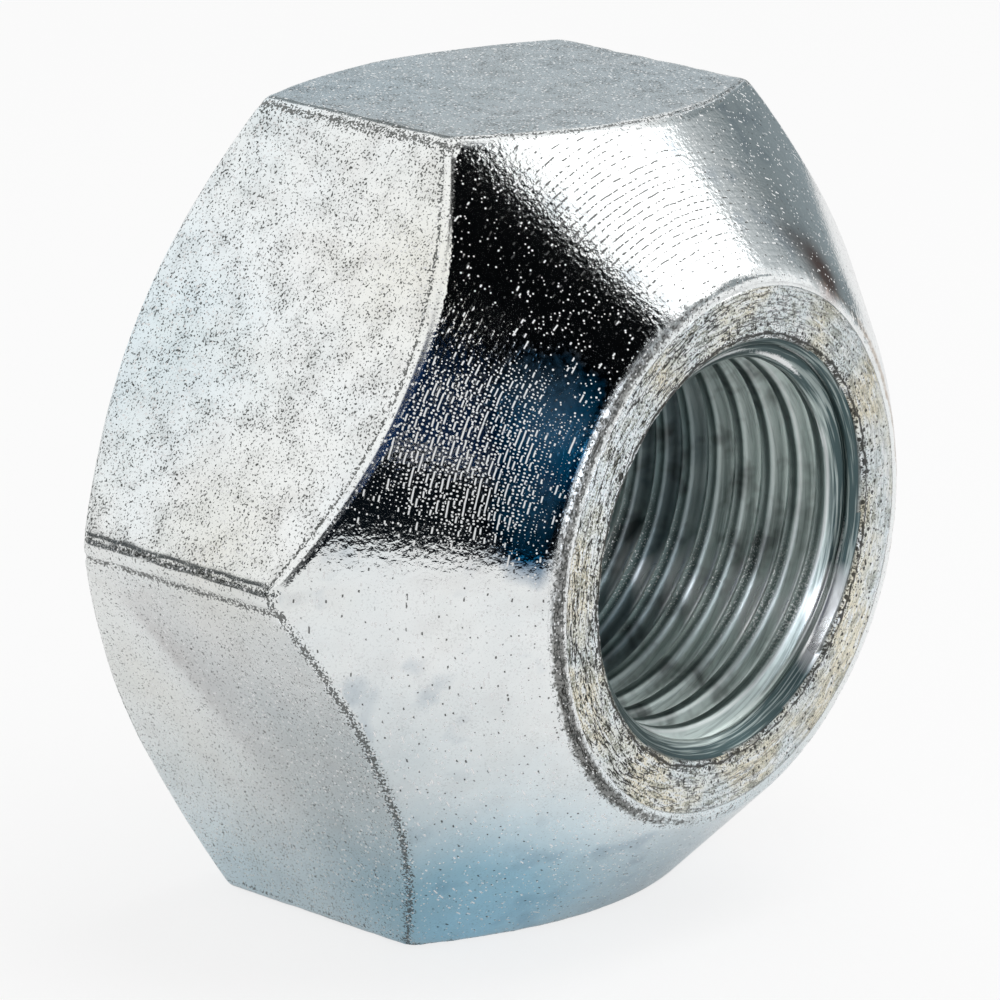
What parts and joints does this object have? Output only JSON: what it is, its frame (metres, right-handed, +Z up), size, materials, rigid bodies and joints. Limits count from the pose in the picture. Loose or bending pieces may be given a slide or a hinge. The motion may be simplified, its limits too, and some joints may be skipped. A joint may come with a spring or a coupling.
{
  "type": "lug nut",
  "caption": "Hexagonal wheel lug nut, open at both ends, with a conical seat, a flat annular nose, a chamfered back and a fine-threaded through bore, in zinc-plated steel.",
  "frame": {"origin": "on the thread axis, halfway along the nut", "axes": "Y is the thread axis and the conical seat faces -Y; Z is up, square to the flat that the nut lies on; X runs across two corners of the hexagon"},
  "size_m": [0.0436, 0.0222, 0.0382],
  "materials": {
    "zinc_plated_steel": "bright zinc plate over forged and turned steel"
  },
  "bodies": {
    "root": {"nut_body": "zinc_plated_steel"}
  },
  "joints": []
}
